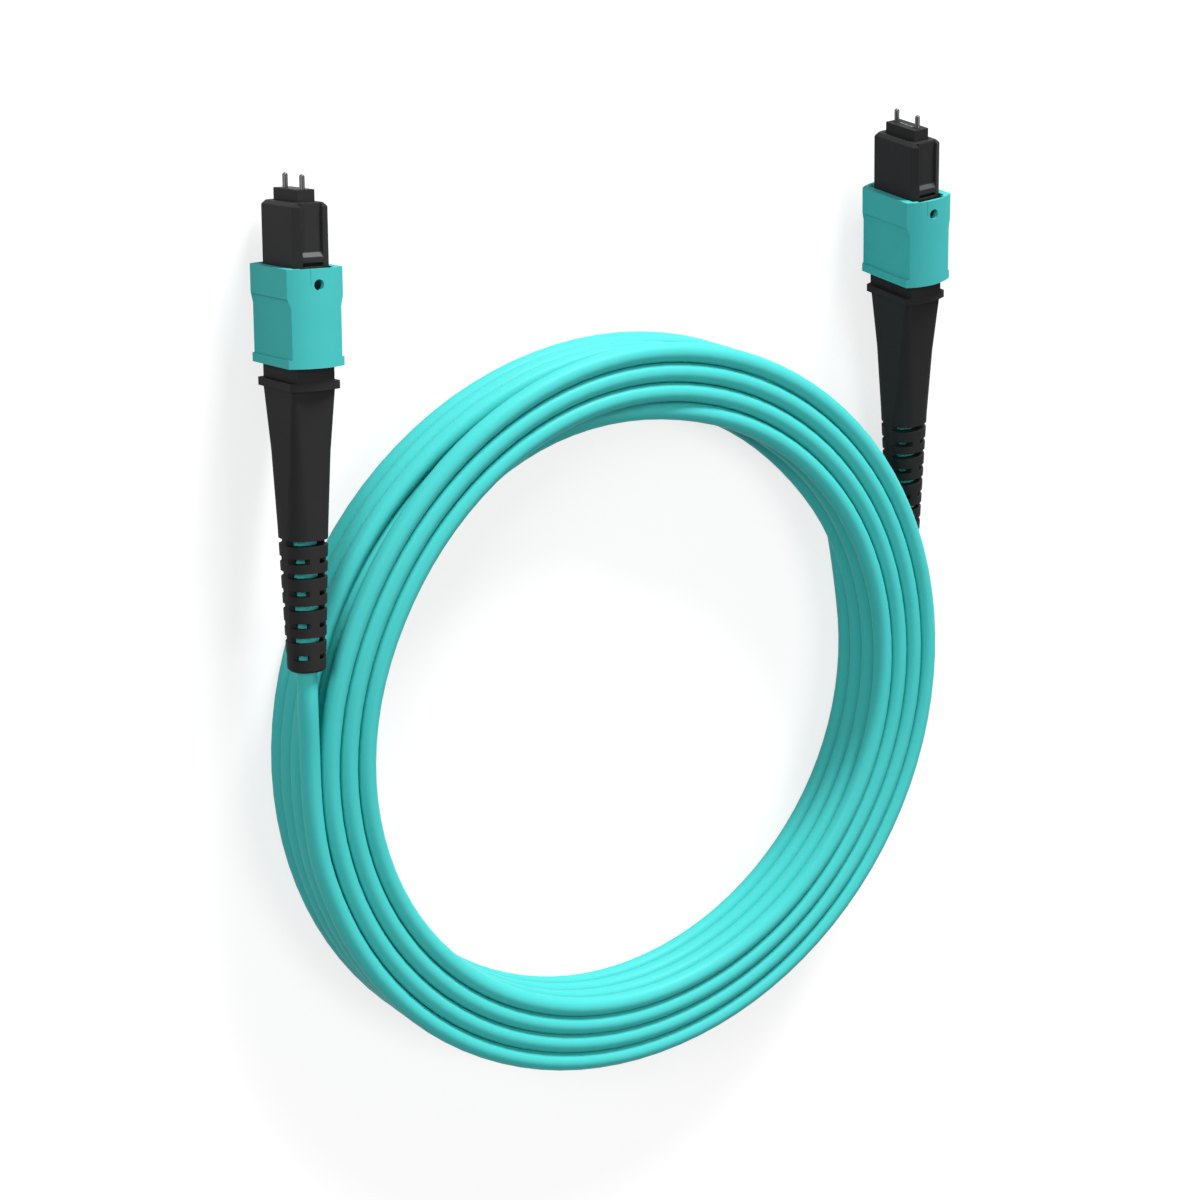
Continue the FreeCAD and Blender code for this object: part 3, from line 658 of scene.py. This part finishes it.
@dataclass
class FerruleUnit:
    """Ferrule with its guide pins, pin keeper, grommet, ribbon and polished fibre ends.

    A pin's dome is turned in rings, one for each `dome_step` degrees from `dome_top` down to its side.
    """

    end: End
    edge: float = 0.07
    fibres: int = 12
    fibre_pitch: float = 0.25
    fibre_radius: float = 0.0625
    fibre_proud: float = 0.002
    fibre_sides: int = 16
    pin_pitch: float = 4.6
    pin_radius: float = 0.35
    pin_reach: float = 1.84
    pin_dome: float = 0.3
    pin_end: float = 9.0
    dome_top: int = 85
    dome_step: int = 17

    def build(self) -> list[bpy.types.Object]:
        """Make the ferrule and dress what it carries.

        Returns:
            The ferrule, its pins and its fibre ends.
        """
        key = self.end.value
        body = key + "_ferrule_unit"
        ferrule = softened(key + "_ferrule", body, FERRULE_RESIN, self.edge)
        pins = [self.guide_pin(side) for side in PinSide]
        dress_node(key + "_pin_keeper", KEEPER_STEEL)
        dress_node(key + "_grommet", GROMMET_RUBBER)
        dress_node(key + "_fibre_ribbon", FIBRE_RIBBON)
        return [ferrule, *pins, self.fibre_row()]

    def guide_pin(self, side: PinSide) -> bpy.types.Object:
        """Turn a steel guide pin with a domed tip in the place of its CAD node.

        Args:
            side: Which of the two pins it is.

        Returns:
            The piece.
        """
        node = "%s_guide_pin_%s" % (self.end.value, side.value)
        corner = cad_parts[node].data.vertices[0].co
        beside = (POSES[self.end].matrix().inverted() @ corner).z
        profile = []
        for degrees in range(self.dome_top, -1, -self.dome_step):
            turn = math.radians(degrees)
            station = self.pin_dome * (1.0 - math.sin(turn)) - self.pin_reach
            profile.append((station, self.pin_radius * math.cos(turn)))
        profile.append((self.pin_end, self.pin_radius))
        axis = math.copysign(self.pin_pitch / 2, beside)
        piece = turned(node + "_piece", self.end, self.end.value + "_ferrule_unit", axis, profile, PIN_STEEL)
        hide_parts(node)
        return piece

    def fibre_row(self) -> bpy.types.Object:
        """Set the row of fibre ends into the end face with Geometry Nodes.

        Returns:
            The piece that holds them all.
        """
        tree = fibre_row_tree()
        carrier = add_object("fibre_row_source", bpy.data.meshes.new("fibre_row_source"))
        modifier = carrier.modifiers.new("fibre_row", "NODES")
        modifier.node_group = tree
        values = {
            "Count": self.fibres,
            "Sides": self.fibre_sides,
            "Pitch": self.fibre_pitch * MM,
            "Radius": self.fibre_radius * MM,
            "Proud": self.fibre_proud * MM,
            "Finish": FIBRE_GLASS.material(),
        }
        for item in tree.interface.items_tree:
            if item.name in values and item.in_out == "INPUT":
                modifier[item.identifier] = values[item.name]
        piece = settled(carrier, self.end.value + "_fibre_ends")
        piece.data.transform(POSES[self.end].matrix())
        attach(piece, self.end.value + "_ferrule_unit")
        return piece


def fibre_row_tree() -> bpy.types.GeometryNodeTree:
    """Build the tree that stands short glass rods in a row along Z, facing +Y, once.

    Returns:
        The tree, with the row's count and sizes and the rods' finish as inputs.
    """
    found = bpy.data.node_groups.get("fibre_row")
    if found:
        return found
    tree = bpy.data.node_groups.new("fibre_row", "GeometryNodeTree")
    kinds = {
        "Count": "Int", "Sides": "Int", "Pitch": "Float", "Radius": "Float", "Proud": "Float",
        "Finish": "Material",
    }
    for label, kind in kinds.items():
        tree.interface.new_socket(label, in_out="INPUT", socket_type="NodeSocket" + kind)
    tree.interface.new_socket("Geometry", in_out="OUTPUT", socket_type="NodeSocketGeometry")
    wires = Wiring(tree)
    source, sink = wires.add("NodeGroupInput"), wires.add("NodeGroupOutput")
    gaps = wires.math("SUBTRACT", source.outputs["Count"], 1)
    start = wires.math("MULTIPLY", wires.math("MULTIPLY", gaps, source.outputs["Pitch"]), -0.5)
    first, step = wires.add("ShaderNodeCombineXYZ"), wires.add("ShaderNodeCombineXYZ")
    wires.join(start, first.inputs["Z"])
    wires.join(source.outputs["Pitch"], step.inputs["Z"])
    row = wires.add("GeometryNodeMeshLine")
    wires.join(source.outputs["Count"], row.inputs["Count"])
    wires.join(first.outputs[0], row.inputs["Start Location"])
    wires.join(step.outputs[0], row.inputs["Offset"])
    rod = wires.add("GeometryNodeMeshCylinder")
    wires.join(source.outputs["Sides"], rod.inputs["Vertices"])
    wires.join(source.outputs["Radius"], rod.inputs["Radius"])
    wires.join(wires.math("MULTIPLY", source.outputs["Proud"], 2.0), rod.inputs["Depth"])
    place = wires.add("GeometryNodeInstanceOnPoints")
    place.inputs["Rotation"].default_value = (math.radians(90.0), 0.0, 0.0)
    wires.join(row.outputs["Mesh"], place.inputs["Points"])
    wires.join(rod.outputs["Mesh"], place.inputs["Instance"])
    real = wires.add("GeometryNodeRealizeInstances")
    wires.join(place.outputs["Instances"], real.inputs["Geometry"])
    paint = wires.add("GeometryNodeSetMaterial")
    wires.join(real.outputs["Geometry"], paint.inputs["Geometry"])
    wires.join(source.outputs["Finish"], paint.inputs["Material"])
    wires.join(paint.outputs["Geometry"], sink.inputs["Geometry"])
    return tree


def settled(carrier: bpy.types.Object, name: str) -> bpy.types.Object:
    """Turn what a carrier's modifiers make into a plain mesh piece and drop the carrier.

    Args:
        carrier: The object with the modifiers.
        name: The new piece's name.

    Returns:
        The plain mesh piece.
    """
    graph = bpy.context.evaluated_depsgraph_get()
    mesh = bpy.data.meshes.new_from_object(carrier.evaluated_get(graph))
    mesh.name = name
    piece = add_object(name, mesh)
    bpy.data.objects.remove(carrier)
    return piece


@dataclass(frozen=True)
class SpringSeat:
    """Where a spring sits, as stations in millimetres, and how far its joint shortens it."""

    start: float
    stop: float
    travel: float

    def keep(self) -> float:
        """Return the share of its length that the spring keeps at its joint's limit."""
        return 1.0 - self.travel / (self.stop - self.start)


@dataclass
class WireSprings:
    """The ferrule's oval spring and the two springs that push the sleeve forward.

    Each stands against a fixed stop at its rear, and its front end is pushed back.
    """

    end: End
    ferrule: SpringSeat = SpringSeat(9.2, 14.6, 1.0)
    sleeve: SpringSeat = SpringSeat(13.4, 19.2, 1.7)
    crease: float = 80.0

    def build(self) -> None:
        """Dress the springs."""
        key = self.end.value
        pose = POSES[self.end]
        back = pose.matrix().to_3x3() @ Vector((0.0, -1.0, 0.0))
        for node, joint, seat in (
            ("ferrule_spring", "ferrule_float", self.ferrule),
            ("coupling_spring_upper", "sleeve_pull", self.sleeve),
            ("coupling_spring_lower", "sleeve_pull", self.sleeve),
        ):
            name = key + "_" + node
            piece = softened(name, "patch_cord", SPRING_STEEL, 0.0, self.crease)
            anchor = pose.at(0.0, seat.stop, 0.0)
            seat.keep()
            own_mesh(piece)


@dataclass
class StrainBoot:
    """Long tapered boot with its slotted tail, and the crimp that it covers.

    The lips are the rear walls of the slots in the narrow faces, one for each pitch of the tail. They are
    painted grey, as a painted highlight where the key light falls on them.
    """

    end: End
    edge: float = 0.1
    edge_limit: float = 40.0
    lip_start: float = 45.45
    lip_pitch: float = 4.23
    lip_play: float = 0.1
    lip_facing: float = 0.9
    jacket: Span = (42.0, 60.6)
    jacket_radius: float = 1.72

    def build(self) -> list[bpy.types.Object]:
        """Make the boot, dress the crimp body and ring, and fill the tail with the cable's jacket.

        Returns:
            The boot and the jacket's end.
        """
        key = self.end.value
        dress_node(key + "_crimp_body", HOUSING_BLACK)
        dress_node(key + "_crimp_ring", CRIMP_METAL)
        boot = softened(
            key + "_strain_boot", "patch_cord", BOOT_BLACK, self.edge, self.edge_limit
        )
        # painted highlight on the slots' rear walls
        repaint(boot, self.end, LIP_HIGHLIGHT, self.is_highlit_lip)
        profile = [(station, self.jacket_radius) for station in self.jacket]
        return [boot, turned(key + "_jacket_end", self.end, "patch_cord", 0.0, profile, JACKET_AQUA)]

    def is_highlit_lip(self, station: float, facing: float) -> bool:
        """Tell a lip, which takes the painted highlight, from the boot's other faces.

        Args:
            station: The face's station in millimetres.
            facing: How squarely it looks forward, between -1 and 1.

        Returns:
            Whether it is a lip.
        """
        along = station - self.lip_start
        off = abs(along - self.lip_pitch * round(along / self.lip_pitch))
        return along > -self.lip_play and off < self.lip_play and facing > self.lip_facing


@dataclass
class Plug:
    """One whole plug."""

    end: End

    def build(self) -> None:
        """Build the plug's pieces in order."""
        key = self.end.value
        pieces = CouplingSleeve(self.end).build() + [InnerHousing(self.end).build()]
        pieces += FerruleUnit(self.end).build() + StrainBoot(self.end).build()
        WireSprings(self.end).build()
        log.info("plug %s: %s", key, ", ".join(piece.name for piece in pieces))


# ---------------------------------------------------------------- cable


@dataclass
class PatchCable:
    """The aqua cable: straight through both boots and wound between them in layers of turns.

    Every size is in millimetres. The coil lies on the table with its axis upright. Each lead runs
    straight beside it from `landing` on the plugs' side of its middle to `run_on` beyond it, where
    the turns take over.
    """

    diameter: float = 2.7
    centre: Point = (51.98, -45.4315, 0.0009)
    heading: float = 2.69
    outer: float = 51.24
    turn_pitch: float = 2.727
    layer_pitch: float = 2.827
    across: int = 4
    layers: int = 4
    per_turn: int = 24
    crossings: tuple[Span, ...] = ((88, 159), (77, 98), (63, 83), (44, 78), (38, 59), (21, 52), (15, 35))
    crimp_station: float = 31.0
    boot_end: float = 61.7
    straight: float = 5.0
    landing: float = 5.5
    run_on: float = 4.0

    def place(self, x: float, y: float, z: float) -> Vector:
        """Return a point of the coil's own frame in the row frame, in metres."""
        turn = Matrix.Rotation(math.radians(self.heading), 3, "Z")
        return (turn @ Vector((x, y, z)) + Vector(self.centre)) * MM

    def seats(self) -> list[tuple[int, int]]:
        """List the turns' seats, from the top of the coil to the table.

        Returns:
            Each turn's layer from the table and place from the outside.
        """
        order = []
        for step in range(self.layers):
            places = range(self.across) if step % 2 == 0 else reversed(range(self.across))
            order += [(self.layers - 1 - step, place) for place in places]
        return order

    def seat_at(self, angle: float) -> tuple[float, float]:
        """Return the seat at an angle of the wound cable, in fractions where it crosses over.

        Every turn moves on by one seat while it goes round. The layers take turns: each row steps
        sideways, and each layer's last turn sinks to the next, in a stretch of angles of its own, so
        that no turn enters a seat before the one that lay there has left it.

        Args:
            angle: Degrees along the cable, with 180 where the near lead lands on the coil.

        Returns:
            The layer from the table and the place from the outside.
        """
        seats = self.seats()
        layer, place = seats[0]
        for lap, (here, after) in enumerate(zip(seats, seats[1:]), start=1):
            row = self.layers - 1 - here[0]
            begin, end = self.crossings[2 * row + (here[0] != after[0])]
            share = min(max((angle - 360.0 * lap - begin) / (end - begin), 0.0), 1.0)
            share = share * share * (3.0 - 2.0 * share)
            layer += (after[0] - here[0]) * share
            place += (after[1] - here[1]) * share
        return layer, place

    def turns(self) -> list[Vector]:
        """Wind the coil from where the near lead lands on it to where the far lead leaves it.

        The knots stand a little outside the round line that they pull the curve to.

        Returns:
            One knot after another.
        """
        step = 360.0 / self.per_turn
        grow = 2.0 / (1.0 + math.cos(math.radians(step / 2)) ** 2)
        count = round(self.per_turn * (self.layers * self.across - 0.5))
        points = []
        for index in range(1, count):
            angle = 180.0 + step * index
            layer, place = self.seat_at(angle)
            radius = (self.outer - self.turn_pitch * place) * grow
            turn = math.radians(angle)
            height = self.diameter / 2 + self.layer_pitch * layer
            points.append(self.place(radius * math.cos(turn), radius * math.sin(turn), height))
        return points

    def route(self) -> list[Vector]:
        """Lay the whole route out.

        Returns:
            Its knots, from the near plug's crimp to the far plug's.
        """
        near, far = POSES[End.NEAR], POSES[End.FAR]
        top = self.diameter / 2 + self.layer_pitch * (self.layers - 1)
        base = self.diameter / 2
        middle = (self.crimp_station + self.boot_end) / 2
        stations = (self.crimp_station, middle, self.boot_end, self.boot_end + self.straight)
        leave = [near.at(0.0, station, 0.0) for station in stations]
        arrive = [far.at(0.0, station, 0.0) for station in reversed(stations)]
        begin = [self.place(-self.outer, y, top) for y in (self.landing, -self.run_on)]
        finish = [self.place(self.outer, y, base) for y in (-self.run_on, self.landing)]
        return leave + begin + self.turns() + finish + arrive

    def build(self) -> bpy.types.Object:
        """Returns:
            The cable.
        """
        route = self.route()
        curve = bpy.data.curves.new("patch_cable", "CURVE")
        curve.dimensions = "3D"
        spline = curve.splines.new("NURBS")
        spline.points.add(len(route) - 1)
        for knot, point in zip(spline.points, route):
            knot.co = (*point, 1.0)
        spline.order_u = 3
        spline.use_endpoint_u = True
        spline.resolution_u = 4
        length = self.measure(curve)
        curve.bevel_depth = self.diameter / 2 * MM
        curve.bevel_resolution = 6
        curve.use_fill_caps = True
        curve.materials.append(JACKET_AQUA.material())
        cable = add_object("patch_cable", curve)
        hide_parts("coil", "a_lead", "b_lead", "a_cable_tail", "b_cable_tail")
        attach(cable, "patch_cord")
        tuple(POSES[End.NEAR].at(0.0, self.crimp_station, 0.0))
        log.info("cable: %d route points, %.3f m", len(route), length)
        return cable

    def measure(self, curve: bpy.types.Curve) -> float:
        """Measure the curve's own line, before it is given a thickness.

        Args:
            curve: The curve.

        Returns:
            Its length in metres.
        """
        probe = add_object("cable_probe", curve)
        mesh = bpy.data.meshes.new_from_object(probe)
        spots = [corner.co for corner in mesh.vertices]
        length = sum((after - here).length for here, after in zip(spots, spots[1:]))
        bpy.data.objects.remove(probe)
        bpy.data.meshes.remove(mesh)
        return length


# ---------------------------------------------------------------- studio


@dataclass(frozen=True)
class SoftBox:
    """A square soft box, with its place and side in metres and its power in watts."""

    name: str
    spot: Point
    size: float
    power: float

    def hang(self, aim: Point) -> None:
        """Hang the soft box.

        Args:
            aim: What it points at, in metres.
        """
        data = bpy.data.lights.new(self.name, "AREA")
        data.size = self.size
        data.energy = self.power
        item = add_object(self.name, data)
        facing = (Vector(aim) - Vector(self.spot)).to_track_quat("-Z", "Y")
        item.matrix_world = Matrix.Translation(self.spot) @ facing.to_matrix().to_4x4()


@dataclass
class Studio:
    """Camera, lamps, world and the white table.

    The camera stands at `eye`, in millimetres. `right`, `up` and `back` are its own axes. The
    table's half side and its depth below the cord are in metres.
    """

    eye: Point = (-170.130, 81.035, 336.761)
    right: Point = (0.839973, 0.032878, 0.54164)
    up: Point = (0.118845, 0.962778, -0.24275)
    back: Point = (-0.529464, 0.268276, 0.80480)
    lens: float = 89.17
    sensor: float = 36.0
    aim: Point = (0.05, -0.02, 0.0)
    boxes: tuple[SoftBox, ...] = (
        SoftBox("key_box", (0.4, 1.33, 0.44), 0.4, 29.0),
        SoftBox("side_box", (-0.96, 0.44, 0.68), 0.5, 6.4),
        SoftBox("top_box", (0.55, -0.1, 1.1), 0.5, 4.4),
    )
    fill: float = 0.14
    table: Colour = (0.4, 0.4, 0.4)
    table_half: float = 3.0
    table_drop: float = 0.00005
    table_glow: float = 0.72

    def camera(self) -> None:
        """Stand the camera where the whole cord fills the frame."""
        data = bpy.data.cameras.new("camera")
        data.lens = self.lens
        data.sensor_width = self.sensor
        data.clip_start = 0.01
        data.clip_end = 10.0
        item = add_object("camera", data)
        turn = Matrix((self.right, self.up, self.back)).transposed()
        item.matrix_world = Matrix.Translation(Vector(self.eye) * MM) @ turn.to_4x4()
        bpy.context.scene.camera = item

    def lights(self) -> None:
        """Light the cord from beyond the plugs' noses, from one side and from above, and fill broadly."""
        for box in self.boxes:
            box.hang(self.aim)
        world = bpy.data.worlds.new("studio")
        bpy.context.scene.world = world
        world.use_nodes = True
        sky = world.node_tree.nodes["Background"]
        sky.inputs["Color"].default_value = (1.0, 1.0, 1.0, 1.0)
        sky.inputs["Strength"].default_value = self.fill

    def floor(self) -> None:
        """Lay the white table and its paint, which shows white where no shadow falls."""
        mesh = bpy.data.meshes.new("table")
        half = self.table_half
        outline = ((-half, -half), (half, -half), (half, half), (-half, half))
        mesh.from_pydata([(x, y, -self.table_drop) for x, y in outline], [], [(0, 1, 2, 3)])
        item = add_object("table", mesh)
        material = bpy.data.materials.new("table_paint")
        material.use_nodes = True
        wires = Wiring(material.node_tree)
        nodes = material.node_tree.nodes
        shader, output = nodes["Principled BSDF"], nodes["Material Output"]
        shader.inputs["Base Color"].default_value = (*self.table, 1.0)
        shader.inputs["Roughness"].default_value = 0.9
        shader.inputs["Specular IOR Level"].default_value = 0.1
        glow = wires.add("ShaderNodeEmission")
        glow.inputs["Color"].default_value = (1.0, 1.0, 1.0, 1.0)
        path = wires.add("ShaderNodeLightPath")
        seen = wires.math("MAXIMUM", path.outputs["Is Camera Ray"], path.outputs["Is Glossy Ray"])
        seen = wires.math("MAXIMUM", seen, path.outputs["Is Transmission Ray"])
        wires.join(wires.math("MULTIPLY", seen, self.table_glow), glow.inputs["Strength"])
        both = wires.add("ShaderNodeAddShader")
        wires.join(shader.outputs[0], both.inputs[0])
        wires.join(glow.outputs[0], both.inputs[1])
        wires.join(both.outputs[0], output.inputs["Surface"])
        mesh.materials.append(material)

    def build(self) -> None:
        """Set up the whole studio."""
        self.camera()
        self.lights()
        self.floor()
        bpy.context.scene.view_settings.view_transform = "Standard"


def main() -> None:
    """Build the plugs, the cable and the studio."""
    logging.basicConfig(level=logging.INFO, format="%(name)s: %(message)s")
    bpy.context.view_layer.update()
    Studio().build()
    for end in End:
        Plug(end).build()
    PatchCable().build()


if __name__ == "__main__":
    main()
